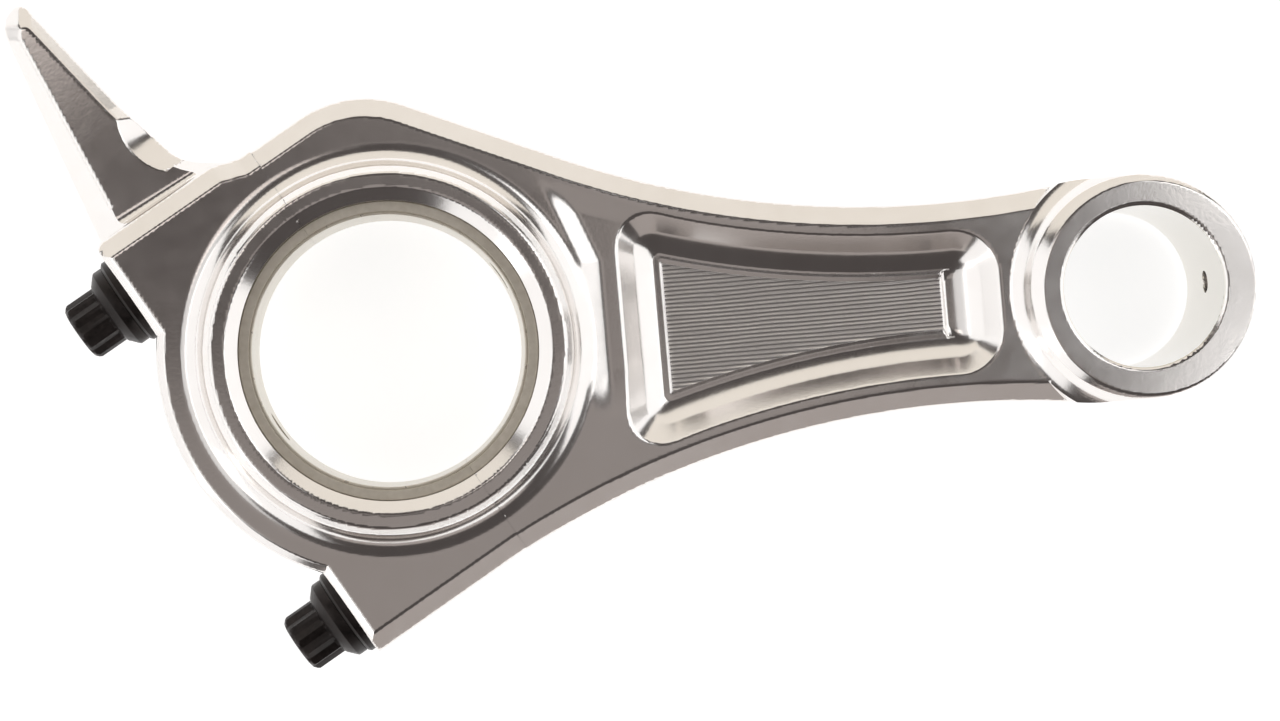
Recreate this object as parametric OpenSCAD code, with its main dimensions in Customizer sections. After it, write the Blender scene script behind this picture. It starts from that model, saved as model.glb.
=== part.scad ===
// Split connecting rod of a small single-cylinder engine, in millimetres.
// The rod lies flat. The origin is the middle of the crankpin bore, +X runs along the rod
// to the wrist-pin end, and +Z is the axis of both bores. The big end is split on a plane
// through the origin, tilted in the XY plane, and held by two screws square to that plane.
// "u" is the distance from the split plane, positive on the rod's side. "v" runs along it.

/* [Bores] */
// Distance between the centres of the two bores
centre_distance = 84; // [80:0.5:90]
// Radius of the crankpin bore, inside the bearing shells
crankpin_r = 15; // [14.8:0.1:15.2]
// Wall of a bearing shell, with its lining
shell_wall = 1.5; // [1.2:0.1:1.6]
// Thickness of the soft lining on a shell's running face
lining_wall = 0.3; // [0.2:0.05:0.4]
// Length of the bearing shells along the bore
shell_length = 17.5; // [16:0.5:18.5]
// Radius of the wrist-pin bore
wrist_pin_r = 9; // [8.5:0.1:9.5]

/* [Ends] */
// Width of the big end between its thrust faces
big_end_width = 22; // [21:0.5:24]
// Outer radius of the flat thrust face of the big end
thrust_face_r = 19.4; // [19:0.1:19.6]
// Radius of the fillet at the foot of the big end's ring
ring_fillet_r = 2.85; // [2.8:0.05:3]
// Width of the small end
small_end_width = 20; // [19:0.5:22]
// Outer radius of the small end
small_end_r = 12.5; // [12.2:0.1:13]
// Radius of the fillet between the small end and the beam
small_end_fillet_r = 3; // [2.5:0.1:3.2]

/* [Body] */
// Thickness of the body round the big end
boss_thickness = 14.6; // [14.2:0.1:15]
// Thickness of the beam
beam_thickness = 14; // [13.6:0.1:14.2]
// Width of the sloping break along the outline, seen from the front
edge_break = 2.2; // [1.6:0.1:2.4]
// Half width of the beam at its narrowest
beam_half_width = 11.35; // [11.2:0.05:11.6]
// Place of the narrowest section along the rod
waist_x = 62; // [61:0.5:63]
// Radius of the long curve of the beam's flanks
flank_r = 105; // [100:1:110]
// Radius of the round top of the rod's upper screw boss
boss_round_r = 13; // [11:0.5:14]

/* [Pockets] */
// End of the pocket nearest the big end
pocket_start_x = 26; // [25.5:0.5:28]
// End of the pocket nearest the small end
pocket_end_x = 68.3; // [66:0.1:69]
// Rim of metal between the outline and the pocket
pocket_margin = 3.3; // [3:0.1:3.6]
// Depth of each pocket below the beam's face
pocket_depth = 3.5; // [2.5:0.1:4]
// Radius of the pocket's corners at its rim
pocket_corner_r = 4.5; // [4.2:0.1:5]

/* [Split and screws] */
// Tilt of the screws from the rod's axis
split_tilt = 30; // [28:1:32]
// Distance of each screw's axis from the middle of the big end
screw_v = 21.3; // [21.2:0.05:21.6]
// Distance from the split plane to the faces under the washers
seat_u = 20; // [19:0.5:21]
// Radius of the screw's thread
thread_r = 3.175; // [3:0.025:3.25]
// Lead of the thread for one turn
thread_pitch = 0.907; // [0.8:0.001:1]
// Length of the screw under its head
screw_length = 31.75; // [30:0.25:33]
// Radius of the flange under the twelve-point head
flange_r = 4.75; // [4.6:0.05:4.9]
// Radius of the washer
washer_r = 5.15; // [5:0.05:5.25]
// Thickness of the washer
washer_thickness = 1.1; // [0.8:0.1:1.4]
// Outer radius of the hollow dowels at the split
dowel_r = 3.8; // [3.7:0.05:3.9]
// Length of a dowel
dowel_length = 8; // [6:0.5:9]

/* [Cap] */
// Outer radius of the cap
cap_r = 25.6; // [25.2:0.1:26]
// Distance from the middle of the big end to the flank below the lower screw
lower_flank_v = 26.76; // [26.5:0.02:27]
// Distance from the middle of the big end to the rod's upper flank
upper_flank_v = 26.8; // [26.6:0.05:27]
// Distance from the middle of the big end to the cap's upper flank
cap_flank_v = 28; // [27.8:0.1:28.2]
// Thickness of the oil dipper
dipper_thickness = 7; // [6:0.5:8]
// Width of the sloping break along the dipper's edges
dipper_break = 1.2; // [0.5:0.1:1.2]

/* [Hidden] */
$fn = 96;

// Sides of the split plane, and of the middle line that the two screws lie on
rod_side = 1;
cap_side = -1;
upper = 1;
lower = -1;

housing_r = crankpin_r + shell_wall;
boss_half = boss_thickness / 2;
beam_half = beam_thickness / 2;
big_end_half = big_end_width / 2;
small_end_half = small_end_width / 2;

// Breaks on the edges of the bores and the ends
housing_chamfer = 1.4;
thrust_chamfer = 0.9;
small_end_chamfer = 0.6;
bore_chamfer = 0.5;
shell_end_chamfer = 0.3;
seat_break_share = 0.25;

// Place along the rod where the body starts to slope down to the beam, and the length of
// that slope
relief_x = 23.3;
relief_run = 2;

// Amount by which a blend's edge is buried in the body that it blends into
bury = 0.05;

// Amount by which a sloping cutter runs past the faces that it cuts
lip = 0.2;

// Clearances between neighbouring pieces
split_gap = 0.01;
fit_gap = 0.02;
thread_gap = 0.06;
shank_gap = 0.3;

// Holes and the tangs that stop the shells turning
shell_hole_r = 1.85;
tip_oil_hole_r = 1.25;
tang_depth = 0.8;
tang_width = 4;
tang_length = 3;
tang_z = 5;

// Screws, washers and dowels
shank_r = thread_r - 0.175;
screw_hole_r = shank_r + shank_gap;
thread_length = 12.7;
tapped_depth = 12.5;
drill_tip = 1.5;
flange_height = 1.2;
flange_slope = 0.9;
head_height = 4.1;
head_point_r = 3.45;
head_neck_r = 3.7;
small_break = 0.3;
thread_break = 0.5;

// Buried length of a blend, a size larger than the whole part, and a hair
overlap = 6;
beyond = 60;
hair = 0.01;

// Outward directions of the straight stretches on each side of the upper screw boss,
// and of the flank below the lower screw
shoulder_x = 20;
shoulder_angle = acos((waist_x - shoulder_x) / flank_r);
upper_flank_angle = 90 + split_tilt;
lower_flank_angle = 90 - split_tilt;

// Centres of the long concave flanks and of the short curves that lead into the small end
flank_centre = [waist_x, beam_half_width + flank_r];
neck_r = 20;
neck_y = small_end_r - neck_r;
neck_x = waist_x + sqrt(pow(flank_r + neck_r, 2) - pow(flank_centre[1] - neck_y, 2));
neck_angle = atan2(flank_centre[1] - neck_y, waist_x - neck_x);

function unit(angle) = [cos(angle), sin(angle)];
function arc(centre, r, from, to, steps) =
    [for (i = [0:steps]) centre + r * unit(from + (to - from) * i / steps)];
function from_split(u, v) = u * unit(split_tilt) + v * unit(split_tilt + 90);
function flipped(path) = [for (i = [len(path) - 1:-1:0]) [path[i][0], -path[i][1]]];

// The point at distance d1 from the origin along direction n1, and d2 along n2
function meet(n1, d1, n2, d2) =
    let (det = n1[0] * n2[1] - n1[1] * n2[0])
    [d1 * n2[1] - d2 * n1[1], d2 * n1[0] - d1 * n2[0]] / det;

// Closed outline through corners [x, y, radius], given anticlockwise, moved inward by
// "inset". Each radius is larger than the inset on an outer corner.
function rounded(corners, inset, steps = 8) =
    let (n = len(corners))
    [for (i = [0:n - 1])
        let (p = corners[i],
             before = corners[(i + n - 1) % n],
             after = corners[(i + 1) % n],
             a = atan2(p[1] - before[1], p[0] - before[0]) - 90,
             b = atan2(after[1] - p[1], after[0] - p[0]) - 90,
             turn = (b - a + 540) % 360 - 180,
             side = turn > 0 ? 1 : -1,
             xy = [p[0], p[1]],
             centre = meet(unit(a), unit(a) * xy - side * p[2],
                           unit(b), unit(b) * xy - side * p[2]))
        each arc(centre, side * p[2] - inset, a, a + turn, steps)];

// Upper side of the beam, from the top of the small end to the place where its outward
// direction is "last", moved inward by "inset"
function beam_side(inset, last) = concat(
    arc([neck_x, neck_y], neck_r - inset, 90, neck_angle, 4),
    arc(flank_centre, flank_r + inset, neck_angle - 180, last - 180, 24));
boss_centre = meet(unit(shoulder_angle),
                   unit(shoulder_angle) * flank_centre - flank_r - boss_round_r,
                   unit(upper_flank_angle), upper_flank_v - boss_round_r);

// Outline of the rod, moved inward by "inset" and running past the split. It ends inside
// the boss of the small end.
function rod_outline(inset) = concat(
    [from_split(-overlap, inset - lower_flank_v)],
    flipped(beam_side(inset, lower_flank_angle)),
    [[centre_distance - 1, inset - small_end_r],
     [centre_distance, 1 + inset - small_end_r],
     [centre_distance, small_end_r - inset - 1],
     [centre_distance - 1, small_end_r - inset]],
    beam_side(inset, shoulder_angle),
    arc(boss_centre, boss_round_r - inset, shoulder_angle, upper_flank_angle, 16),
    [from_split(-overlap, upper_flank_v - inset)]);

// Outline of the cap, moved inward by "inset" and running past the split. The faces under
// the washers keep a smaller break than the rest.
function cap_outline(inset) =
    let (seat = seat_u - inset * seat_break_share,
         r = cap_r - inset,
         edge = acos(-seat / r))
    concat(
        [from_split(overlap, upper_flank_v + 0.2 - inset),
         from_split(-1.5, upper_flank_v + 0.2 - inset),
         from_split(-4.5, cap_flank_v - inset),
         from_split(0.8 - seat, cap_flank_v - inset),
         from_split(-seat, cap_flank_v - 1 - inset)],
        arc([0, 0], r, split_tilt + edge, split_tilt + 360 - edge, 40),
        [from_split(-seat, inset - lower_flank_v),
         from_split(overlap, inset - lower_flank_v)]);

// Outline of the dipper: up from its throat on the cap's flank to the square tip, down
// its long edge to the cap's corner, and back inside the cap
dipper_corners = [
    concat(from_split(-3.1, cap_flank_v - 0.3), 1.6),
    concat(from_split(-6.3, cap_flank_v - 0.3), 2),
    [-27.8, 29.9, 30],
    [-37.75, 42.45, 1.55],
    [-40, 39.9, 1.55],
    [-30.8, 14, 1.6],
    concat(from_split(-18, 22), 1.6),
    concat(from_split(-3.1, 22), 1.6)];

// Rim of a pocket when "inset" is 0, or its floor: the flanks' own curves, moved inward
function pocket_half(inset) =
    let (r = pocket_corner_r,
         reach = flank_r + pocket_margin + r,
         x0 = pocket_start_x + r,
         x1 = pocket_end_x - r,
         y0 = flank_centre[1] - sqrt(pow(reach, 2) - pow(waist_x - x0, 2)),
         y1 = flank_centre[1] - sqrt(pow(reach, 2) - pow(waist_x - x1, 2)),
         a0 = atan2(flank_centre[1] - y0, waist_x - x0),
         a1 = atan2(flank_centre[1] - y1, waist_x - x1))
    concat(
        arc([x1, y1], r - inset, 0, a1, 8),
        arc(flank_centre, reach - r + inset, a1 - 180, a0 - 180, 20),
        arc([x0, y0], r - inset, a0, 180, 8));
function pocket_outline(inset) = concat(flipped(pocket_half(inset)), pocket_half(inset));

// Stack of outlines with the same number of points, as one solid
module lofted(outlines, heights) {
    n = len(outlines[0]);
    last = len(outlines) - 1;
    polyhedron(
        points = [for (k = [0:last]) for (p = outlines[k]) [p[0], p[1], heights[k]]],
        faces = concat(
            [[for (i = [0:n - 1]) i]],
            [[for (i = [n - 1:-1:0]) last * n + i]],
            [for (k = [0:last - 1]) for (i = [0:n - 1])
                let (j = (i + 1) % n)
                [k * n + i, (k + 1) * n + i, (k + 1) * n + j, k * n + j]]));
}

// Slab with a sloping break along both edges of its outline. "narrower" is the outline
// moved inward by the break and the lip.
module slab(outline, narrower, half, break) {
    difference() {
        lofted([narrower, outline, outline, narrower],
               [-half - lip, break - half, half - break, half + lip]);
        both_faces()
            translate([-beyond, -beyond, half]) cube([3 * beyond, 2 * beyond, beyond]);
    }
}

// Everything on one side of the split plane, and a gap's width past it
module split_half(side) {
    rotate([0, 0, split_tilt])
        translate([side == rod_side ? -split_gap : split_gap - beyond, -beyond, -beyond])
            cube([side == rod_side ? 3 * beyond : beyond, 2 * beyond, 2 * beyond]);
}

// Places its children on a screw's axis, "u" from the split, with +Z pointing into the rod
module on_screw_axis(place, u) {
    rotate([0, 0, split_tilt])
        translate([u, place * screw_v, 0])
            rotate([0, 90, 0])
                children();
}

module both_faces() {
    children();
    mirror([0, 0, 1]) children();
}

// Round solid turned about Z. The profile gives its upper half, from the inside out.
module turned(profile) {
    rotate_extrude()
        polygon(concat(profile, flipped(profile)));
}

// Bore along Z with both its edges broken
module broken_bore(r, half, break) {
    cylinder(r = r, h = 2 * beyond, center = true);
    both_faces()
        translate([0, 0, half - 2 * break])
            cylinder(r1 = r - break, r2 = r + 2 * break, h = 3 * break);
}

// Raised ring of the big end, with the fillet at its foot
module big_end_ring() {
    wall_r = thrust_face_r + thrust_chamfer;
    fillet_z = big_end_half - thrust_chamfer;
    turned(concat(
        [[crankpin_r, big_end_half], [thrust_face_r, big_end_half]],
        arc([wall_r + ring_fillet_r, fillet_z], ring_fillet_r, 180, 270, 6)));
}

// Boss round the wrist-pin bore
module small_end_boss() {
    translate([centre_distance, 0, 0])
        turned([[0, small_end_half], [small_end_r - small_end_chamfer, small_end_half],
                [small_end_r, small_end_half - small_end_chamfer]]);
}

// Fillet from the boss to the beam, kept between the beam's flanks
module small_end_fillet() {
    top = small_end_half - small_end_chamfer - bury;
    centre_z = beam_half + small_end_fillet_r - bury;
    start = asin((centre_z - top) / small_end_fillet_r);
    foot_r = small_end_r + small_end_fillet_r * cos(start);
    intersection() {
        translate([centre_distance, 0, 0])
            turned(concat(
                [[small_end_r - 1, top]],
                arc([foot_r, centre_z], small_end_fillet_r, 180 + start, 270, 7)));
        translate([centre_distance - 2 * small_end_r, 0.6 - small_end_r, -small_end_half])
            cube([2 * small_end_r, 2 * small_end_r - 1.2, small_end_width]);
    }
}

// What is taken off the faces to lower the beam beyond the big end
module beam_relief() {
    step = boss_half - beam_half;
    both_faces()
        rotate([90, 0, 0])
            linear_extrude(height = 2 * beyond, center = true)
                polygon([[relief_x - relief_run, boss_half + step],
                         [relief_x + relief_run, beam_half],
                         [3 * beyond, beam_half], [3 * beyond, boss_half + step]]);
}

// Pockets with walls at 45 degrees, cut from above the beam's faces
module pockets() {
    both_faces()
        lofted([pocket_outline(pocket_depth), pocket_outline(-lip)],
               [beam_half - pocket_depth, beam_half + lip]);
}

// Tang of a shell, beside the split on the upper side, or with "gap" the slot that holds it
module tang(side, gap = 0) {
    rotate([0, 0, split_tilt])
        translate([side == rod_side ? 0 : -tang_length - gap,
                   housing_r - 0.6 - gap,
                   side * tang_z - tang_width / 2 - gap])
            cube([tang_length + gap, 0.6 + tang_depth + 2 * gap, tang_width + 2 * gap]);
}

// Bore for the shells, with the slot for one shell's tang
module housing_bore(side) {
    broken_bore(housing_r, big_end_half, housing_chamfer);
    tang(side, fit_gap);
}

// Seats for both hollow dowels, on both sides of the split
module dowel_seats() {
    seat_length = dowel_length + 2 * small_break;
    for (place = [lower, upper])
        on_screw_axis(place, -seat_length / 2) cylinder(r = dowel_r + fit_gap, h = seat_length);
}

// Bore of the small end, with broken edges and the oil hole through its tip
module wrist_pin_bore() {
    translate([centre_distance, 0, 0]) {
        broken_bore(wrist_pin_r, small_end_half, bore_chamfer);
        rotate([0, 90, 0]) cylinder(r = tip_oil_hole_r, h = beyond);
    }
}

module rod_body() {
    color([0.78, 0.77, 0.75])
        difference() {
            union() {
                difference() {
                    slab(rod_outline(0), rod_outline(edge_break + lip), boss_half, edge_break);
                    beam_relief();
                }
                big_end_ring();
                small_end_boss();
                small_end_fillet();
            }
            split_half(cap_side);
            housing_bore(rod_side);
            wrist_pin_bore();
            pockets();
            dowel_seats();
            for (place = [lower, upper])
                on_screw_axis(place, 0) {
                    cylinder(r = thread_r + thread_gap, h = tapped_depth);
                    translate([0, 0, tapped_depth - hair])
                        cylinder(r1 = thread_r + thread_gap, r2 = hair, h = drill_tip);
                }
        }
}

// Cap with the blade that splashes oil, all one piece
module bearing_cap() {
    color([0.76, 0.75, 0.73])
        difference() {
            union() {
                slab(cap_outline(0), cap_outline(edge_break + lip), boss_half, edge_break);
                slab(rounded(dipper_corners, 0), rounded(dipper_corners, dipper_break + lip),
                     dipper_thickness / 2, dipper_break);
                big_end_ring();
            }
            split_half(rod_side);
            housing_bore(cap_side);
            dowel_seats();
            for (place = [lower, upper])
                on_screw_axis(place, -beyond) cylinder(r = screw_hole_r, h = beyond + 1);
        }
}

// Half of a plain bearing, from radius r0 to r1, with the oil hole in its middle
module half_shell(side, r0, r1, break) {
    half = shell_length / 2;
    difference() {
        turned([[r0, half - break], [r0 + break, half], [r1 - break, half],
                [r1, half - break]]);
        split_half(-side);
        rotate([0, 0, split_tilt])
            rotate([0, side * 90, 0])
                cylinder(r = shell_hole_r, h = beyond);
    }
}

module shell_back(side) {
    color([0.55, 0.55, 0.54])
        union() {
            half_shell(side, crankpin_r + lining_wall, housing_r - fit_gap, 0.1);
            difference() {
                tang(side);
                split_half(-side);
            }
        }
}

module shell_lining(side) {
    color([0.72, 0.70, 0.65])
        half_shell(side, crankpin_r, crankpin_r + lining_wall - hair, 0.1);
}

// Hollow dowel that lines the cap up with the rod, round a screw
module dowel(place) {
    color([0.45, 0.45, 0.46])
        on_screw_axis(place, -dowel_length / 2)
            difference() {
                union() {
                    cylinder(r1 = dowel_r - small_break, r2 = dowel_r, h = small_break);
                    translate([0, 0, small_break])
                        cylinder(r = dowel_r, h = dowel_length - 2 * small_break);
                    translate([0, 0, dowel_length - small_break])
                        cylinder(r1 = dowel_r, r2 = dowel_r - small_break, h = small_break);
                }
                translate([0, 0, -1]) cylinder(r = screw_hole_r, h = dowel_length + 2);
            }
}

module washer(place) {
    color([0.30, 0.29, 0.28])
        on_screw_axis(place, -seat_u - split_gap - washer_thickness)
            difference() {
                union() {
                    cylinder(r1 = washer_r - small_break, r2 = washer_r, h = small_break);
                    translate([0, 0, small_break])
                        cylinder(r = washer_r, h = washer_thickness - small_break);
                }
                translate([0, 0, -1]) cylinder(r = screw_hole_r, h = washer_thickness + 2);
            }
}

// Twelve-point head, its end face broken all round
module twelve_point(height) {
    notch_r = head_point_r * cos(30) / cos(15);
    intersection() {
        linear_extrude(height = height)
            polygon([for (i = [0:23]) (i % 2 == 0 ? head_point_r : notch_r) * unit(15 * i)]);
        union() {
            cylinder(r1 = head_point_r - small_break, r2 = head_point_r + 0.1, h = 2 * small_break);
            translate([0, 0, 2 * small_break])
                cylinder(r = head_point_r + 0.1, h = height);
        }
    }
}

// Flanged cap screw; its thread is plain here, at the thread's outer radius
module cap_screw(place) {
    color([0.10, 0.09, 0.09])
        on_screw_axis(place, -seat_u - fit_gap - washer_thickness)
            union() {
                translate([0, 0, -flange_height]) cylinder(r = flange_r, h = flange_height);
                translate([0, 0, -flange_height - flange_slope])
                    cylinder(r1 = head_neck_r, r2 = flange_r, h = flange_slope);
                translate([0, 0, -flange_height - flange_slope - head_height])
                    twelve_point(head_height + hair);
                cylinder(r = shank_r, h = screw_length - thread_length);
                translate([0, 0, screw_length - thread_length])
                    cylinder(r = thread_r, h = thread_length - thread_break);
                translate([0, 0, screw_length - thread_break])
                    cylinder(r1 = thread_r, r2 = thread_r - thread_break, h = thread_break);
            }
}

rod_body();
bearing_cap();
shell_back(rod_side);  // upper_shell_back
shell_lining(rod_side);  // upper_shell_lining
shell_back(cap_side);  // lower_shell_back
shell_lining(cap_side);  // lower_shell_lining
dowel(upper);  // upper_dowel
dowel(lower);  // lower_dowel
washer(upper);  // upper_washer
washer(lower);  // lower_washer
cap_screw(upper);  // upper_cap_screw
cap_screw(lower);  // lower_cap_screw
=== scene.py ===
"""Looks of the split connecting rod: detailed pieces, materials, floor, light and camera.

The rod body and the cap are described as solids by distance functions in millimetres, and
dual_contour() turns each into a mesh with sharp edges. The screws are swept profiles with a
real thread. X runs along the rod, Z is the axis of the bores. "u" is the distance from the
split plane, positive on the rod's side, and "v" runs along that plane. "w" is the distance
from the middle plane, because both faces are alike.
"""

import math

import bpy
import numpy as np
from mathutils import Matrix, Vector


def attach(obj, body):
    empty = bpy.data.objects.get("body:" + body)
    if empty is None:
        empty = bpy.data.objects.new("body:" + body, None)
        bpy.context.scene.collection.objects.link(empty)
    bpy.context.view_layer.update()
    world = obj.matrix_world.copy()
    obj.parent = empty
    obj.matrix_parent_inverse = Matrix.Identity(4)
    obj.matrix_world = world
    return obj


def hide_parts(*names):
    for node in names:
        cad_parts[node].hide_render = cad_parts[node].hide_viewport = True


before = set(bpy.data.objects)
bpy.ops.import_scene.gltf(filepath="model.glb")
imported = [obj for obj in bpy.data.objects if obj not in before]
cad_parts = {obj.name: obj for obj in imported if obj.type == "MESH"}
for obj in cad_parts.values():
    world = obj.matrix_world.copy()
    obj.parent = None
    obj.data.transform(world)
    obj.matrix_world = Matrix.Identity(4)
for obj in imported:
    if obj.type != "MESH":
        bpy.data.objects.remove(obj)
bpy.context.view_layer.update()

MM = 0.001

# ---------------------------------------------------------------- sizes, in millimetres

CENTRES = 84.0
HOUSING_R = 16.5
HOUSING_BREAK = 1.4
BORE_BREAK_ANGLE = 34.0
BIG_END_HALF = 11.0
THRUST_R = 19.4
THRUST_BREAK = 0.9
RING_FILLET = 2.85
WRIST_PIN_R = 9.0
WRIST_PIN_BREAK = 0.35
SMALL_END_HALF = 10.0
SMALL_END_R = 12.5
FACE_R = 11.9
FACE_SHIFT = (0.6, -0.2)
SMALL_END_FILLET = 3.0
FILLET_FOOT_R = 14.7
FILLET_DROP = 0.11
FILLET_DRAFT = 0.15
TIP_OIL_HOLE_R = 1.25

BOSS_HALF = 7.45
BEAM_HALF = 7.0
RAMP_END_X = 24.4
RAMP_RUN = 3.0
RAMP_LEAN = 0.38
RAMP_LEAN_Y = 8.0
LONG_RAMP_END_X = 36.0
LONG_RAMP_RUN = 20.0
RIM_BAND = 5.5
RIM_BAND_RUN = 3.0
LOWER_BAND_Y = -4.0
LOWER_BAND_RUN = 6.0
EDGE_BREAK = 2.2
BREAK_ANGLE = 40.0
WAIST_X = 62.0
FLANK_R = 105.0
FLANK_Y = 116.35
NECK_R = 20.0
NECK_Y = SMALL_END_R - NECK_R
NECK_X = WAIST_X + math.sqrt((FLANK_R + NECK_R) ** 2 - (FLANK_Y - NECK_Y) ** 2)
SHOULDER_X = 20.0
SHOULDER_ANGLE = math.degrees(math.acos((WAIST_X - SHOULDER_X) / FLANK_R))
BOSS_ROUND_R = 13.0

SPLIT_TILT = 30.0
SPLIT_GAP = 0.01
UPPER_FLANK_V = 26.8
LOWER_FLANK_V = 26.76
CAP_FLANK_V = 28.0
CAP_STEP = 1.0
CAP_STEP_U = -1.5
CAP_STEP_RUN = 3.0
CAP_R = 25.6
CAP_LOWER_CORNER_R = 0.4
SEAT_U = 20.0
SEAT_CORNER_R = 1.0
SEAT_BREAK_SHARE = 0.6
SCREW_V = 21.3

POCKET_START = 26.0
POCKET_END = 68.3
POCKET_MARGIN = 3.3
POCKET_DEPTH = 3.5
POCKET_CORNER_R = 5.2
POCKET_FILLET = 1.7
POCKET_RIM_R = 0.15
FIELD_HEIGHT = 0.30
FIELD_BORDER = 0.5
FIELD_END_BORDER = 5.5
FIELD_RISE_RUN = 0.8

DOWEL_SEAT_R = 3.82
DOWEL_SEAT_END = 4.3
TAP_R = 3.235
TAP_END = 12.5
DRILL_TIP = 1.5
DRILL_TIP_SLOPE = 2.0
SCREW_HOLE_R = 3.3
TANG_SLOT_U = 3.02
TANG_SLOT_V = 0.85
TANG_SLOT_Z = 2.02
TANG_Z = 5.0

DIPPER_HALF = 3.5
DIPPER_THROAT_R = 4.5
DIPPER_CORNER_R = 1.55
DIPPER_EDGE_START = (-19.31, 20.84)
DIPPER_EDGE_START_ANGLE = 43.16
DIPPER_EDGE_MIDDLE = (-27.8, 29.9)
DIPPER_EDGE_MIDDLE_ANGLE = 38.41
DIPPER_TIP = (-40.0, 39.9)
DIPPER_TIP_ANGLE = 138.58
DIPPER_ROOT = (-30.8, 14.0)
DIPPER_LEFT_ANGLE = 199.55
DIPPER_INNER_V = 20.0
DIPPER_INNER_U = 2.2
DIPPER_RIGHT_BREAK = 1.3
DIPPER_TIP_BREAK = 2.3
DIPPER_LEFT_BREAK = 1.4
LEFT_BREAK_GROWTH = 1.5
LEFT_BREAK_Y = 39.0
LEFT_BREAK_RUN = 21.0
DIPPER_FILLET = 1.0
DIPPER_FILLET_GROWTH = 0.6
DIPPER_FILLET_U = -6.0
DIPPER_FILLET_RUN = 12.0
DIPPER_FILLET_TOP = 5.0
DIPPER_FILLET_REACH = 2.5
SCALLOP_CENTRE = (-21.3, 28.3)
SCALLOP_R = 6.55
SCALLOP_SLOPE = 0.8

# Radii of the small roundings along edges
OUTLINE_ROUND = 0.2
BREAK_ROUND = 0.14
RING_ROUND = 0.1
FACE_ROUND = 0.12
CUT_ROUND = 0.06
SLOT_ROUND = 0.03
DIPPER_ROUND = 0.15
DIPPER_BREAK_ROUND = 0.8
SCALLOP_ROUND = 0.1

ROOT_2 = math.sqrt(2.0)


def unit(angle):
    """Unit vector at an angle in degrees."""
    return np.array([math.cos(math.radians(angle)), math.sin(math.radians(angle))])


SPLIT_U = unit(SPLIT_TILT)
SPLIT_V = unit(SPLIT_TILT + 90)

# ---------------------------------------------------------------- distance functions


def round_max(a, b, r):
    """Common part of two solids, its new edge rounded to radius r."""
    return np.minimum(np.maximum(a, b), -r) + np.hypot(
        np.maximum(a + r, 0), np.maximum(b + r, 0)
    )


def round_min(a, b, r):
    """Two solids joined, with a fillet of radius r where they meet."""
    return -round_max(-a, -b, r)


def smooth_step(t):
    """Goes from 0 to 1 as t does, starting and ending gently."""
    t = np.clip(t, 0, 1)
    return t * t * (3 - 2 * t)


def past(x, y, corner, angle):
    """Distance past the line through a corner whose outward direction has this angle."""
    n = unit(angle)
    return (x - corner[0]) * n[0] + (y - corner[1]) * n[1]


def boss_centre():
    """Centre of the round boss that touches both the upper flank and the long flank."""
    n = np.array([unit(SHOULDER_ANGLE), unit(SPLIT_TILT + 90)])
    reach = n[0] @ np.array([WAIST_X, FLANK_Y]) - FLANK_R - BOSS_ROUND_R
    return np.linalg.solve(n, [reach, UPPER_FLANK_V - BOSS_ROUND_R])


BOSS_CENTRE = boss_centre()


def rod_outline(x, y):
    """Distance outside the rod's outline, seen from the front."""
    q = np.abs(y)
    side = FLANK_R - np.hypot(x - WAIST_X, q - FLANK_Y)
    neck = np.hypot(x - NECK_X, q - NECK_Y) - NECK_R
    right_of_flank = (NECK_X - WAIST_X) * (q - FLANK_Y) - (NECK_Y - FLANK_Y) * (x - WAIST_X)
    side = np.where(right_of_flank > 0, neck, side)
    side = np.where(x > NECK_X, q - SMALL_END_R, side)
    side = np.where(x > CENTRES, np.hypot(x - CENTRES, q) - SMALL_END_R, side)

    shoulder = past(x, y, (WAIST_X, FLANK_Y), SHOULDER_ANGLE) + FLANK_R
    boss = np.hypot(x - BOSS_CENTRE[0], y - BOSS_CENTRE[1]) - BOSS_ROUND_R
    upper = np.where(past(x, y, (WAIST_X, FLANK_Y), SHOULDER_ANGLE + 90) > 0, shoulder, side)
    upper = np.where(past(x, y, BOSS_CENTRE, SHOULDER_ANGLE + 90) > 0, boss, upper)
    straight = past(x, y, (0, 0), SPLIT_TILT + 90) - UPPER_FLANK_V
    upper = np.where(past(x, y, BOSS_CENTRE, SPLIT_TILT + 180) > 0, straight, upper)

    straight = past(x, q, (0, 0), 90 - SPLIT_TILT) - LOWER_FLANK_V
    lower = np.where(past(x, q, (WAIST_X, FLANK_Y), 180 - SPLIT_TILT) > 0, straight, side)
    return np.where(y > 0, upper, lower)


def slope_from(outline, height, run, angle):
    """Distance outside a plane that starts a run's width inside an outline, where the height
    is zero, and falls outward at this angle."""
    n = unit(90 - angle)
    return (outline + run) * n[0] + height * n[1]


def slab(outline, break_outline, half, w):
    """Flat slab with a sloping break along its outline."""
    slope = slope_from(break_outline, w - half, EDGE_BREAK, BREAK_ANGLE)
    return round_max(round_max(w - half, slope, BREAK_ROUND), outline, OUTLINE_ROUND)


def thrust_ring(r, w):
    """Round step about Z on each face of the big end, its edge broken."""
    radius = THRUST_R + THRUST_BREAK
    body = np.maximum(r - radius, w - BIG_END_HALF)
    slope = (r - radius + w - BIG_END_HALF + THRUST_BREAK) / ROOT_2
    return round_max(body, slope, RING_ROUND)


def broken_bore(r, w, radius, half, edge_break):
    """Bore about Z, negative inside it, with its edges broken."""
    slope = slope_from(-(r - radius), w - half, edge_break, BORE_BREAK_ANGLE)
    return np.minimum(r - radius, -slope)


def cut(solid, void, rounding=CUT_ROUND):
    """A solid with a void taken out of it, the void's rim rounded."""
    return round_max(solid, -void, rounding)


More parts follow.
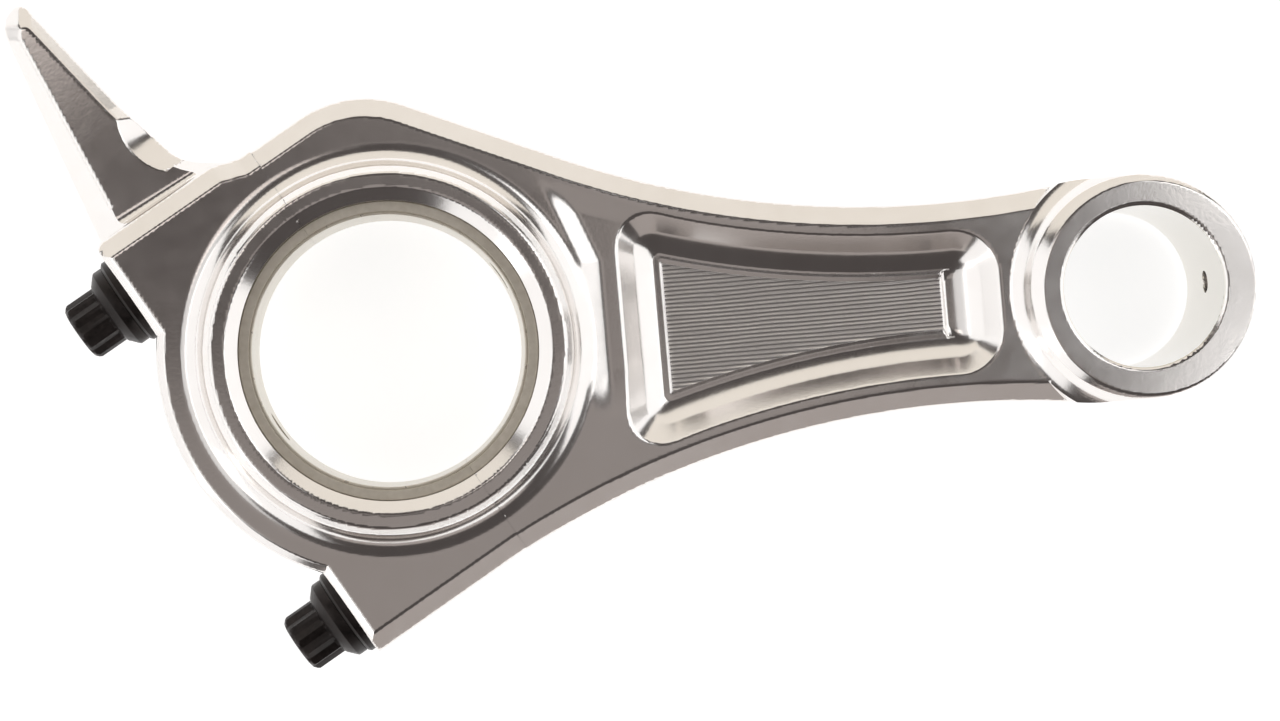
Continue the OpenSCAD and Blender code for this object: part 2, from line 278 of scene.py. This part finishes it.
def pocket(x, y, w):
    """What stays round a pocket: its sloping walls and its floor, with a raised field."""
    q = np.abs(y)
    ends = np.maximum(POCKET_START - x, x - POCKET_END)
    sides = FLANK_R + POCKET_MARGIN - np.hypot(x - WAIST_X, q - FLANK_Y)
    rim = round_max(ends, sides, POCKET_CORNER_R)
    wall = (w - BEAM_HALF - rim) / ROOT_2
    field = np.maximum(
        rim + POCKET_DEPTH + FIELD_BORDER, x - POCKET_END + FIELD_END_BORDER
    )
    raised = FIELD_HEIGHT * smooth_step(-field / FIELD_RISE_RUN)
    floor = w - (BEAM_HALF - POCKET_DEPTH + raised)
    return round_min(wall, floor, POCKET_FILLET)


def screw_holes(u, v, z, rod_side):
    """The dowel seats and the screw holes of one half, negative inside them."""
    axis = np.hypot(np.abs(v) - SCREW_V, z)
    if rod_side:
        seat = np.maximum(axis - DOWEL_SEAT_R, u - DOWEL_SEAT_END)
        tip = axis - TAP_R + (u - TAP_END) * DRILL_TIP_SLOPE
        tip = np.maximum(tip / math.hypot(1, DRILL_TIP_SLOPE), u - TAP_END - DRILL_TIP)
        return np.minimum(seat, np.maximum(axis - TAP_R, tip))
    seat = np.maximum(axis - DOWEL_SEAT_R, -u - DOWEL_SEAT_END)
    return np.minimum(seat, axis - SCREW_HOLE_R)


def tang_slot(u, v, z, side):
    """Slot for a shell's tang beside the split, negative inside it."""
    across = np.abs(v - HOUSING_R) - TANG_SLOT_V
    along = np.abs(u) - TANG_SLOT_U
    return np.maximum(np.maximum(across, along), np.abs(z - side * TANG_Z) - TANG_SLOT_Z)


def split_coordinates(x, y):
    """The same place as distances from the split plane and along it."""
    return x * SPLIT_U[0] + y * SPLIT_U[1], x * SPLIT_V[0] + y * SPLIT_V[1]


def rod_solid(x, y, z):
    """Distance outside the rod body."""
    w = np.abs(z)
    u, v = split_coordinates(x, y)
    r = np.hypot(x, y)
    r2 = np.hypot(x - CENTRES, y)
    outline = rod_outline(x, y)

    lean = RAMP_LEAN * np.maximum(y - RAMP_LEAN_Y, 0)
    ramp = smooth_step((RAMP_END_X - lean - x) / RAMP_RUN)
    gentle = smooth_step((LONG_RAMP_END_X - x) / LONG_RAMP_RUN)
    near_rim = smooth_step((outline + RIM_BAND) / RIM_BAND_RUN)
    near_bottom = smooth_step((LOWER_BAND_Y - y) / LOWER_BAND_RUN)
    ramp = ramp + (gentle - ramp) * np.maximum(near_rim, near_bottom)
    half = BEAM_HALF + (BOSS_HALF - BEAM_HALF) * ramp
    body = slab(outline, outline, half, w)
    body = round_max(body, pocket(x, y, w), POCKET_RIM_R)

    body = round_min(body, thrust_ring(r, w), RING_FILLET)

    end = np.maximum(r2 - SMALL_END_R, w - SMALL_END_HALF)
    face = np.hypot(x - CENTRES - FACE_SHIFT[0], y - FACE_SHIFT[1]) - FACE_R
    end = round_max(end, (face + w - SMALL_END_HALF) / ROOT_2, FACE_ROUND)
    fillet = round_min(w - BEAM_HALF, end, SMALL_END_FILLET)
    fillet = fillet + FILLET_DROP * np.clip(r2 - FILLET_FOOT_R + 1, 0, 1)
    foot = r2 - FILLET_FOOT_R - FILLET_DRAFT * (BEAM_HALF - w)
    fillet = np.maximum(fillet, np.maximum(foot, outline))
    body = np.minimum(body, np.minimum(fillet, end))

    body = cut(body, broken_bore(r, w, HOUSING_R, BIG_END_HALF, HOUSING_BREAK))
    body = cut(body, broken_bore(r2, w, WRIST_PIN_R, SMALL_END_HALF, WRIST_PIN_BREAK))
    tip_hole = np.maximum(np.hypot(y, z) - TIP_OIL_HOLE_R, CENTRES - x)
    body = cut(body, tip_hole)
    body = cut(body, screw_holes(u, v, z, True))
    body = cut(body, tang_slot(u, v, z, 1), SLOT_ROUND)
    return np.maximum(body, SPLIT_GAP - u)


def dipper(x, y, w, u, flank):
    """The blade that splashes oil: a thin slab with wide breaks, a scallop at its throat
    and a fillet at its root."""
    right = np.minimum(
        past(x, y, DIPPER_EDGE_START, DIPPER_EDGE_START_ANGLE),
        past(x, y, DIPPER_EDGE_MIDDLE, DIPPER_EDGE_MIDDLE_ANGLE),
    )
    right = round_min(right, flank, DIPPER_THROAT_R)
    left = past(x, y, DIPPER_ROOT, DIPPER_LEFT_ANGLE)
    tip = past(x, y, DIPPER_TIP, DIPPER_TIP_ANGLE)
    outline = round_max(round_max(right, tip, DIPPER_CORNER_R), left, DIPPER_CORNER_R)
    inner_end = np.maximum(DIPPER_INNER_V - (flank + CAP_FLANK_V), u + DIPPER_INNER_U)

    down_blade = np.clip((LEFT_BREAK_Y - y) / LEFT_BREAK_RUN, 0, 1)
    left_break = left + w - DIPPER_HALF + DIPPER_LEFT_BREAK + LEFT_BREAK_GROWTH * down_blade
    left_break = left_break / ROOT_2
    right_break = (right + w - DIPPER_HALF + DIPPER_RIGHT_BREAK) / ROOT_2
    tip_break = (tip + w - DIPPER_HALF + DIPPER_TIP_BREAK) / ROOT_2
    breaks = round_max(left_break, tip_break, DIPPER_BREAK_ROUND)
    breaks = round_max(breaks, right_break, DIPPER_BREAK_ROUND)
    edges = np.maximum(round_max(outline, breaks, DIPPER_ROUND), inner_end)

    scallop = w - DIPPER_HALF + SCALLOP_SLOPE * (
        SCALLOP_R - np.hypot(x - SCALLOP_CENTRE[0], y - SCALLOP_CENTRE[1])
    )
    scallop = scallop / math.hypot(1, SCALLOP_SLOPE)
    blade = round_max(edges, w - DIPPER_HALF, FACE_ROUND)
    blade = round_max(blade, scallop, SCALLOP_ROUND)

    growth = np.clip((DIPPER_FILLET_U - u) / DIPPER_FILLET_RUN, 0, 1)
    root_r = DIPPER_FILLET + DIPPER_FILLET_GROWTH * growth
    root = np.maximum(round_min(flank, w - DIPPER_HALF, root_r), edges)
    fillet_box = np.maximum(w - DIPPER_FILLET_TOP, flank - DIPPER_FILLET_REACH)
    return np.minimum(blade, np.maximum(root, fillet_box))


def cap_solid(x, y, z):
    """Distance outside the cap, with its dipper."""
    w = np.abs(z)
    u, v = split_coordinates(x, y)
    r = np.hypot(x, y)
    stepped = np.clip((CAP_STEP_U - u) / CAP_STEP_RUN, 0, 1)
    flank = v - (CAP_FLANK_V - CAP_STEP + CAP_STEP * stepped)
    seat = np.minimum(-SEAT_U - u, r - CAP_R)
    lower_flank = -LOWER_FLANK_V - v
    outline = round_max(flank, seat, SEAT_CORNER_R)
    outline = round_max(outline, lower_flank, CAP_LOWER_CORNER_R)
    seat_break = seat - SEAT_BREAK_SHARE * EDGE_BREAK
    break_outline = np.maximum(np.maximum(flank, seat_break), lower_flank)
    body = slab(outline, break_outline, BOSS_HALF, w)

    body = round_min(body, thrust_ring(r, w), RING_FILLET)
    body = np.minimum(body, dipper(x, y, w, u, flank))

    body = cut(body, broken_bore(r, w, HOUSING_R, BIG_END_HALF, HOUSING_BREAK))
    body = cut(body, screw_holes(u, v, z, False))
    body = cut(body, tang_slot(u, v, z, -1), SLOT_ROUND)
    return np.maximum(body, SPLIT_GAP + u)


# ---------------------------------------------------------------- meshing

GRID = 0.34
HAIR = 1e-4
TINY = 1e-12
SEARCH_ROUNDS = 7
SEARCH_MARGIN = 0.02
BEND_LIMIT = 0.04
CELL_MARGIN = 0.01
CORNER_SHARE = 0.75


def gradient(solid, p):
    """Unit outward direction of a solid's surface at each point."""
    g = np.empty_like(p)
    for k in range(3):
        step = np.zeros(3)
        step[k] = HAIR
        ahead, behind = p + step, p - step
        g[:, k] = solid(*ahead.T) - solid(*behind.T)
    return g / np.maximum(np.linalg.norm(g, axis=1, keepdims=True), TINY)


def crossings(solid, low, high, f_low, f_high):
    """Points where the surface crosses the segments from low to high."""
    a, b = np.zeros(len(low)), np.ones(len(low))
    fa, fb = f_low.copy(), f_high.copy()
    for _ in range(SEARCH_ROUNDS):
        margin = SEARCH_MARGIN * (b - a)
        t = np.clip(a + (b - a) * fa / (fa - fb), a + margin, b - margin)
        f = solid(*(low + t[:, None] * (high - low)).T)
        same = (f < 0) == (fa < 0)
        a, fa = np.where(same, t, a), np.where(same, f, fa)
        b, fb = np.where(same, b, t), np.where(same, fb, f)
    t = a + (b - a) * fa / (fa - fb)
    return low + t[:, None] * (high - low)


def dual_contour(solid, low, high, step):
    """Vertices, quads and corner normals of a solid's surface, with its sharp edges kept."""
    low = np.array(low, float)
    count = np.ceil((np.array(high) - low) / step).astype(int) + 1
    axes = [low[k] + step * np.arange(count[k]) for k in range(3)]
    value = np.empty(count)
    x, y = np.meshgrid(axes[0], axes[1], indexing="ij")
    for k, z in enumerate(axes[2]):
        value[:, :, k] = solid(x, y, np.full_like(x, z))
    inside = value < 0

    points, normals, cells, flips = [], [], [], []
    for axis in range(3):
        b, c = (axis + 1) % 3, (axis + 2) % 3
        first = [slice(None)] * 3
        last = [slice(None)] * 3
        first[axis], last[axis] = slice(0, -1), slice(1, None)
        at = np.argwhere(inside[tuple(first)] != inside[tuple(last)])
        ahead = at.copy()
        ahead[:, axis] += 1
        f0, f1 = value[tuple(at.T)], value[tuple(ahead.T)]
        p = crossings(solid, low + step * at, low + step * ahead, f0, f1)
        points.append(p)
        normals.append(gradient(solid, p))
        around = []
        for db, dc in ((-1, -1), (0, -1), (0, 0), (-1, 0)):
            cell = at.copy()
            cell[:, b] += db
            cell[:, c] += dc
            around.append(np.ravel_multi_index(tuple(cell.T), count))
        cells.append(np.stack(around, 1))
        flips.append(f0 > 0)
    points, normals = np.vstack(points), np.vstack(normals)
    cells, flips = np.vstack(cells), np.concatenate(flips)

    used, index = np.unique(cells.ravel(), return_inverse=True)
    index = index.reshape(-1)
    corner = low + step * np.stack(np.unravel_index(used, count), 1)
    n = np.repeat(normals, 4, axis=0)
    p = np.repeat(points, 4, axis=0) - corner[index]

    def gather(values):
        return np.bincount(index, weights=values, minlength=len(used))

    mean = np.stack([gather(p[:, k]) for k in range(3)], 1) / gather(np.ones(len(p)))[:, None]
    reach = np.einsum("ij,ij->i", n, p - mean[index])
    pull = np.stack([gather(n[:, k] * reach) for k in range(3)], 1)
    spread = np.empty((len(used), 3, 3))
    for i in range(3):
        for j in range(3):
            spread[:, i, j] = gather(n[:, i] * n[:, j])
    size, turn = np.linalg.eigh(spread)
    inverse = np.where(size > BEND_LIMIT * size[:, 2:], 1 / np.maximum(size, TINY), 0)
    move = np.einsum("nij,nj,nkj,nk->ni", turn, inverse, turn, pull)
    vertices = corner + np.clip(mean + move, CELL_MARGIN * step, (1 - CELL_MARGIN) * step)

    quads = index.reshape(-1, 4)
    quads = np.where(flips[:, None], quads[:, ::-1], quads)
    centre = vertices[quads].mean(1)
    near = vertices[quads] * CORNER_SHARE + centre[:, None, :] * (1 - CORNER_SHARE)
    corner_normals = gradient(solid, near.reshape(-1, 3))
    return vertices, quads, corner_normals


def mesh_piece(name, vertices, faces, material, corner_normals=None):
    """A piece from points in millimetres and faces, with its material."""
    mesh = bpy.data.meshes.new(name)
    mesh.from_pydata((np.asarray(vertices) * MM).tolist(), [], [list(f) for f in faces])
    mesh.polygons.foreach_set("use_smooth", [True] * len(mesh.polygons))
    if corner_normals is not None:
        mesh.normals_split_custom_set(corner_normals.tolist())
    mesh.materials.append(material)
    piece = bpy.data.objects.new(name, mesh)
    bpy.context.scene.collection.objects.link(piece)
    return piece


# ---------------------------------------------------------------- materials


NOISE_ROUGHNESS = 0.55
BORE_MARGIN = 0.1
RULED_RATE = 13500.0  # radians a metre, so a line every 0.47 mm
RULED_WANDER = 5.0
RULED_START_X = POCKET_START + 3.0
RULED_END_X = POCKET_END - 5.0
RULED_DEPTH_MARGIN = 0.03


class Nodes:
    """A material's node tree, with short calls for making and joining its nodes."""

    def __init__(self, name):
        self.material = bpy.data.materials.new(name)
        self.material.use_nodes = True
        self.tree = self.material.node_tree
        self.shader = self.tree.nodes["Principled BSDF"]
        self.place = self.tree.nodes.new("ShaderNodeTexCoord").outputs["Object"]

    def join(self, out, into):
        """Links an output to an input."""
        self.tree.links.new(out, into)

    def set(self, **values):
        """Sets the shader's own sockets, a space in their names written as _."""
        for key, value in values.items():
            self.shader.inputs[key.replace("_", " ")].default_value = value

    def stretched(self, scale):
        """The object's coordinates, scaled along each axis."""
        node = self.tree.nodes.new("ShaderNodeMapping")
        node.inputs["Scale"].default_value = scale
        self.join(self.place, node.inputs["Vector"])
        return node.outputs["Vector"]

    def noise(self, vector, scale, detail):
        """Cloudy values from 0 to 1."""
        node = self.tree.nodes.new("ShaderNodeTexNoise")
        node.inputs["Scale"].default_value = scale
        node.inputs["Detail"].default_value = detail
        node.inputs["Roughness"].default_value = NOISE_ROUGHNESS
        self.join(vector, node.inputs["Vector"])
        return node.outputs["Fac"]

    def ramp(self, fac, stops):
        """A colour ramp from (place, colour) stops."""
        node = self.tree.nodes.new("ShaderNodeValToRGB")
        ramp = node.color_ramp
        while len(ramp.elements) < len(stops):
            ramp.elements.new(0.5)
        for element, (at, colour) in zip(ramp.elements, stops):
            element.position = at
            element.color = (*colour, 1)
        self.join(fac, node.inputs["Fac"])
        return node.outputs["Color"]

    def span(self, value, low, high, from_low, from_high):
        """A value moved from one range to another."""
        node = self.tree.nodes.new("ShaderNodeMapRange")
        for key, number in (
            ("From Min", from_low),
            ("From Max", from_high),
            ("To Min", low),
            ("To Max", high),
        ):
            node.inputs[key].default_value = number
        self.join(value, node.inputs["Value"])
        return node.outputs["Result"]

    def math(self, kind, a, b):
        """A math node of two numbers or outputs."""
        node = self.tree.nodes.new("ShaderNodeMath")
        node.operation = kind
        for socket, value in zip(node.inputs, (a, b)):
            if isinstance(value, (int, float)):
                socket.default_value = value
            else:
                self.join(value, socket)
        return node.outputs["Value"]

    def bump(self, height, distance, strength, normal=None):
        """A bumped normal, on top of another one if it is given."""
        node = self.tree.nodes.new("ShaderNodeBump")
        node.inputs["Distance"].default_value = distance
        node.inputs["Strength"].default_value = strength
        self.join(height, node.inputs["Height"])
        if normal is not None:
            self.join(normal, node.inputs["Normal"])
        return node.outputs["Normal"]


def aluminium():
    """Machined aluminium that was tumbled bright, with ruled pocket floors and a painted shade
    on the wrist-pin bore's wall.
    """
    m = Nodes("tumbled_aluminium")
    m.set(Metallic=1.0, IOR=1.5)
    cloud = m.noise(m.place, 45.0, 2.0)
    grain = m.noise(m.place, 420.0, 3.0)
    fine = m.noise(m.place, 2600.0, 2.0)
    tone = m.math("ADD", m.math("MULTIPLY", cloud, 0.6), m.math("MULTIPLY", grain, 0.4))
    split = m.tree.nodes.new("ShaderNodeSeparateXYZ")
    m.join(m.place, split.inputs["Vector"])
    x, y, z = (split.outputs[k] for k in "XYZ")
    # Painted shade: inside the wrist-pin bore the tone is forced to zero, so the bore's wall
    # takes a darker beige than the tumbled tones around it
    from_pin = m.math("SUBTRACT", x, CENTRES * MM)
    from_pin = m.math("MULTIPLY", from_pin, from_pin)
    from_pin = m.math("ADD", from_pin, m.math("MULTIPLY", y, y))
    outside_bore = m.math("GREATER_THAN", from_pin, ((WRIST_PIN_R + BORE_MARGIN) * MM) ** 2)
    bore_painted_shade = (0.76, 0.735, 0.68)
    dull = (0.86, 0.83, 0.805)
    bright = (0.91, 0.885, 0.865)
    stops = [(0.0, bore_painted_shade), (0.2, bore_painted_shade), (0.35, dull), (0.7, bright)]
    m.join(m.ramp(m.math("MULTIPLY", tone, outside_bore), stops), m.shader.inputs["Base Color"])
    wander = m.noise(m.stretched((0.35, 1.0, 1.0)), 260.0, 2.0)
    wander = m.math("MULTIPLY", wander, RULED_WANDER)
    lines = m.math("ADD", m.math("MULTIPLY", y, RULED_RATE), wander)
    ruled = m.math("SINE", lines, 0.0)
    height = m.math("ABSOLUTE", z, 0.0)
    field = BEAM_HALF - POCKET_DEPTH + FIELD_HEIGHT
    on_floor = m.math(
        "MULTIPLY",
        m.math("LESS_THAN", height, (field + RULED_DEPTH_MARGIN) * MM),
        m.math("GREATER_THAN", height, (field - RULED_DEPTH_MARGIN) * MM),
    )
    in_pocket = m.math(
        "MULTIPLY",
        m.math("GREATER_THAN", x, RULED_START_X * MM),
        m.math("LESS_THAN", x, RULED_END_X * MM),
    )
    on_field = m.math("MULTIPLY", on_floor, in_pocket)
    ruled = m.math("MULTIPLY", ruled, on_field)
    polish = m.span(tone, 0.13, 0.18, 0.35, 0.65)
    dulled = m.math("MAXIMUM", polish, m.math("MULTIPLY", on_field, 0.32))
    m.join(dulled, m.shader.inputs["Roughness"])
    tumbled = m.bump(fine, 0.00002, 0.12)
    soft = m.bump(grain, 0.00004, 0.10, tumbled)
    m.join(m.bump(ruled, 0.00004, 0.9, soft), m.shader.inputs["Normal"])
    return m.material


def metal(name, dark, light, rough, scale, metallic=1.0, bump=0.00002):
    """A metal whose tone and roughness drift a little, with a fine grain."""
    m = Nodes(name)
    m.set(Metallic=metallic)
    drift = m.noise(m.place, scale * 0.15, 3.0)
    grain = m.noise(m.place, scale, 5.0)
    mixed = m.math("ADD", m.math("MULTIPLY", drift, 0.5), m.math("MULTIPLY", grain, 0.5))
    m.join(m.ramp(mixed, [(0.32, dark), (0.68, light)]), m.shader.inputs["Base Color"])
    m.join(m.span(grain, *rough, 0.3, 0.7), m.shader.inputs["Roughness"])
    m.join(m.bump(grain, bump, 0.1), m.shader.inputs["Normal"])
    return m.material


aluminium_material = aluminium()
shell_material = metal(
    "shell_steel", (0.62, 0.57, 0.48), (0.74, 0.69, 0.60), (0.34, 0.46), 1500.0, metallic=0.5
)
lining_material = metal(
    "bearing_lining", (0.70, 0.65, 0.56), (0.80, 0.76, 0.68), (0.26, 0.36), 1200.0, metallic=0.7
)
dowel_material = metal(
    "dowel_steel", (0.42, 0.42, 0.43), (0.60, 0.60, 0.61), (0.18, 0.3), 1400.0
)
oxide_material = metal(
    "black_oxide",
    (0.010, 0.008, 0.007),
    (0.030, 0.022, 0.020),
    (0.30, 0.48),
    1600.0,
    metallic=0.55,
    bump=0.00004,
)

# ---------------------------------------------------------------- rod and cap

# Boxes round each piece, their odd hundredths keeping the grid off the flat faces
ROD_LOW = (-15.03, -25.03, -11.43)
ROD_HIGH = (97.6, 29.6, 11.6)
CAP_LOW = (-42.03, -35.03, -11.43)
CAP_HIGH = (15.6, 44.6, 11.6)


def contoured_piece(name, solid, low, high):
    """The mesh of a solid between two corners of a box, in machined aluminium."""
    vertices, quads, corner_normals = dual_contour(solid, low, high, GRID)
    return mesh_piece(name, vertices, quads, aluminium_material, corner_normals)


rod = contoured_piece("rod_visual", rod_solid, ROD_LOW, ROD_HIGH)
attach(rod, "rod")
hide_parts("rod_body")

cap = contoured_piece("cap_visual", cap_solid, CAP_LOW, CAP_HIGH)
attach(cap, "cap")
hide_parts("bearing_cap")

# ---------------------------------------------------------------- screws

SCREW_LENGTH = 31.75
WASHER_THICKNESS = 1.1
SHANK_R = 3.0
THREAD_R = 3.175
THREAD_ROOT_R = 2.68
THREAD_LENGTH = 12.7
THREAD_PITCH = 0.907
THREAD_FLANK = 2.6
THREAD_FLAT = 0.3
THREAD_RUN_IN = 0.9
THREAD_END_BREAK = 0.5
ROWS_A_PITCH = 8
FLANGE_R = 4.75
FLANGE_HEIGHT = 1.2
FLANGE_SLOPE = 0.9
NECK_HEAD_R = 3.7
HEAD_HEIGHT = 4.1
POINT_R = 3.45
AROUND = 144
SHARP_ANGLE = 28.0


def twelve_point_r(turn):
    """Radius of the twelve-point outline, two hexagons laid over each other."""
    flat = POINT_R * math.cos(math.radians(30))

    def hexagon(t):
        return flat / np.cos((t + math.pi / 6) % (math.pi / 3) - math.pi / 6)

    return np.maximum(hexagon(turn), hexagon(turn + math.pi / 6))


def thread_r(along, turn):
    """Radius of the thread, and of the shank before it."""
    phase = (along / THREAD_PITCH - turn / (2 * math.pi)) % 1.0
    ridge = np.clip(np.abs(phase - 0.5) * THREAD_FLANK - THREAD_FLAT, 0, 1)
    r = THREAD_ROOT_R + (THREAD_R - THREAD_ROOT_R) * ridge
    start = SCREW_LENGTH - THREAD_LENGTH
    run_in = np.clip((along - start) / THREAD_RUN_IN, 0, 1)
    from_end = np.clip((SCREW_LENGTH - along) / THREAD_END_BREAK, 0, 1)
    end_break = THREAD_R - THREAD_END_BREAK + THREAD_END_BREAK * from_end
    return np.minimum(SHANK_R + (r - SHANK_R) * run_in, end_break)


def swept(rows):
    """Vertices and faces of a closed form about an axis. A row gives a ring's place along
    the axis and its radius, either one number or one for each corner."""
    turn = np.linspace(0, 2 * math.pi, AROUND, endpoint=False)
    vertices, faces = [], []
    for along, radii in rows:
        r = np.broadcast_to(radii, turn.shape)
        ring = [r * np.cos(turn), r * np.sin(turn), np.full(AROUND, along)]
        vertices += np.stack(ring, 1).tolist()
    for k in range(len(rows) - 1):
        for i in range(AROUND):
            j = (i + 1) % AROUND
            a, b = k * AROUND, (k + 1) * AROUND
            faces.append([a + i, a + j, b + j, b + i])
    faces.append(list(range(AROUND))[::-1])
    faces.append([(len(rows) - 1) * AROUND + i for i in range(AROUND)])
    return vertices, faces


def screw_mesh():
    """Vertices and faces of a flanged twelve-point screw, its head below zero and its
    shank above."""
    turn = np.linspace(0, 2 * math.pi, AROUND, endpoint=False)
    point = twelve_point_r(turn)
    top = -FLANGE_HEIGHT - FLANGE_SLOPE - HEAD_HEIGHT
    foot = -FLANGE_HEIGHT - FLANGE_SLOPE
    rows = [
        (top + 0.55, 1.1),
        (top + 0.5, 1.55),
        (top + 0.06, 1.95),
        (top, 2.05),
        (top, 2.55),
        (top + 0.10, np.minimum(point - 0.05, 2.95)),
        (top + 0.38, np.minimum(point - 0.02, 3.28)),
        (top + 0.62, point - 0.01),
        (top + 0.75, point),
        (foot - 0.35, point),
        (foot - 0.12, np.maximum(point, 3.42)),
        (foot, np.maximum(point, NECK_HEAD_R)),
        (foot + 0.12, np.maximum(point, NECK_HEAD_R + 0.12)),
        (-FLANGE_HEIGHT - 0.08, FLANGE_R - 0.14),
        (-FLANGE_HEIGHT + 0.06, FLANGE_R - 0.02),
        (-FLANGE_HEIGHT + 0.16, FLANGE_R),
        (-0.22, FLANGE_R),
        (-0.08, FLANGE_R - 0.04),
        (0.0, FLANGE_R - 0.16),
        (0.0, SHANK_R + 0.25),
        (0.25, SHANK_R),
    ]
    start = SCREW_LENGTH - THREAD_LENGTH
    rows.append((start - 0.05, SHANK_R))
    steps = int(THREAD_LENGTH / (THREAD_PITCH / ROWS_A_PITCH))
    for i in range(steps + 1):
        along = start + THREAD_LENGTH * i / steps
        rows.append((along, thread_r(along, turn)))
    return swept(rows)


def on_screw_axis(place, u):
    """The matrix that puts a piece on a screw's axis, +Z pointing into the rod."""
    z = Vector((SPLIT_U[0], SPLIT_U[1], 0))
    x = Vector((0, 0, -1))
    y = z.cross(x)
    turn = Matrix((x, y, z)).transposed().to_4x4()
    at = u * SPLIT_U + place * SCREW_V * SPLIT_V
    return Matrix.Translation((at[0] * MM, at[1] * MM, 0)) @ turn


screw_vertices, screw_faces = screw_mesh()
for name, place, turned in (("upper", 1, 8.0), ("lower", -1, 21.0)):
    screw = mesh_piece(name + "_screw_visual", screw_vertices, screw_faces, oxide_material)
    spin = Matrix.Rotation(math.radians(turned), 4, "Z")
    screw.data.transform(on_screw_axis(place, -SEAT_U - WASHER_THICKNESS) @ spin)
    screw.data.set_sharp_from_angle(angle=math.radians(SHARP_ANGLE))
    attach(screw, name + "_screw")
    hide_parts(name + "_cap_screw")

# ---------------------------------------------------------------- carried-over nodes

CARRIED = {
    "upper_shell_back": shell_material,
    "lower_shell_back": shell_material,
    "upper_shell_lining": lining_material,
    "lower_shell_lining": lining_material,
    "upper_dowel": dowel_material,
    "lower_dowel": dowel_material,
    "upper_washer": oxide_material,
    "lower_washer": oxide_material,
}
for name, material in CARRIED.items():
    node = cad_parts[name]
    node.data.materials.clear()
    node.data.materials.append(material)

# ---------------------------------------------------------------- floor, light and camera


def floor_material():
    """Pale paper that is lit from within, so that it stays white inside the bores."""
    m = Nodes("pale_floor")
    m.set(Roughness=0.9, Emission_Color=(1, 1, 1, 1), Emission_Strength=0.8)
    drift = m.noise(m.place, 3.0, 2.0)
    m.join(
        m.ramp(drift, [(0.3, (0.50, 0.50, 0.50)), (0.7, (0.53, 0.53, 0.525))]),
        m.shader.inputs["Base Color"],
    )
    return m.material


FLOOR_GAP = 0.02
FLOOR_Z = -BIG_END_HALF - FLOOR_GAP
FLOOR_HALF = 1500
floor_corners = [
    (-FLOOR_HALF, -FLOOR_HALF, FLOOR_Z),
    (FLOOR_HALF, -FLOOR_HALF, FLOOR_Z),
    (FLOOR_HALF, FLOOR_HALF, FLOOR_Z),
    (-FLOOR_HALF, FLOOR_HALF, FLOOR_Z),
]
floor = mesh_piece("floor", floor_corners, [(0, 1, 2, 3)], floor_material())


def softbox(name, at, size, glow, colour, aim=(0.03, 0, 0)):
    """An area light of a given brightness that faces a place near the rod, in metres."""
    light = bpy.data.lights.new(name, "AREA")
    light.shape = "RECTANGLE"
    light.size, light.size_y = size
    light.energy = glow * math.pi * size[0] * size[1]
    light.color = colour
    lamp = bpy.data.objects.new(name, light)
    lamp.location = at
    facing = Vector(aim) - Vector(at)
    lamp.rotation_euler = facing.to_track_quat("-Z", "Y").to_euler()
    bpy.context.scene.collection.objects.link(lamp)


WHITE = (1.0, 1.0, 1.0)
WARM = (1.0, 0.91, 0.86)

softbox("back", (0.03, 0.85, 0.30), (1.7, 0.66), 0.82, (1.0, 0.945, 0.855))
softbox("right", (0.85, 0.05, 0.42), (1.1, 0.90), 1.08, WHITE)
softbox("left", (-0.80, 0.0, 0.42), (1.2, 0.90), 1.04, WHITE)
softbox("upper_left", (-0.50, 0.0, 0.90), (0.9, 0.40), 0.7, WHITE)
softbox("lower_left", (-0.55, -0.55, 0.30), (0.5, 0.62), 1.0, WHITE)
softbox("front", (0.15, -0.90, 0.12), (1.1, 0.28), 0.32, WARM)
softbox("over_tip_back", (0.37, 0.174, 0.60), (0.316, 0.320), 1.35, WHITE, (0.37, 0.174, 0))
softbox("over_tip_front", (0.37, -0.041, 0.60), (0.316, 0.066), 1.6, WHITE, (0.37, -0.041, 0))
softbox("over_big_end", (-0.03, -0.115, 0.60), (0.34, 0.23), 0.22, WARM, (-0.03, -0.115, 0))
softbox("over_beam", (0.095, 0.02, 0.60), (0.08, 0.16), 0.26, WARM, (0.095, 0.02, 0))
softbox("over_boss", (0.02, 0.11, 0.60), (0.09, 0.12), 0.12, WARM, (0.02, 0.11, 0))
softbox("over_dipper", (-0.16, 0.18, 0.60), (0.16, 0.18), 0.85, WARM, (-0.16, 0.18, 0))

world = bpy.data.worlds.new("studio")
world.use_nodes = True
world.node_tree.nodes["Background"].inputs["Color"].default_value = (0.075, 0.066, 0.064, 1)
world.node_tree.nodes["Background"].inputs["Strength"].default_value = 1.0
bpy.context.scene.world = world
bpy.context.scene.view_settings.view_transform = "Standard"

camera_data = bpy.data.cameras.new("camera")
camera_data.sensor_width = 36.0
camera_data.lens = 98.93
camera = bpy.data.objects.new("camera", camera_data)
camera.location = (0.00513, -0.00243, 0.39636)
camera.rotation_euler = (0.00234, -0.05758, -0.08546)
bpy.context.scene.collection.objects.link(camera)
bpy.context.scene.camera = camera
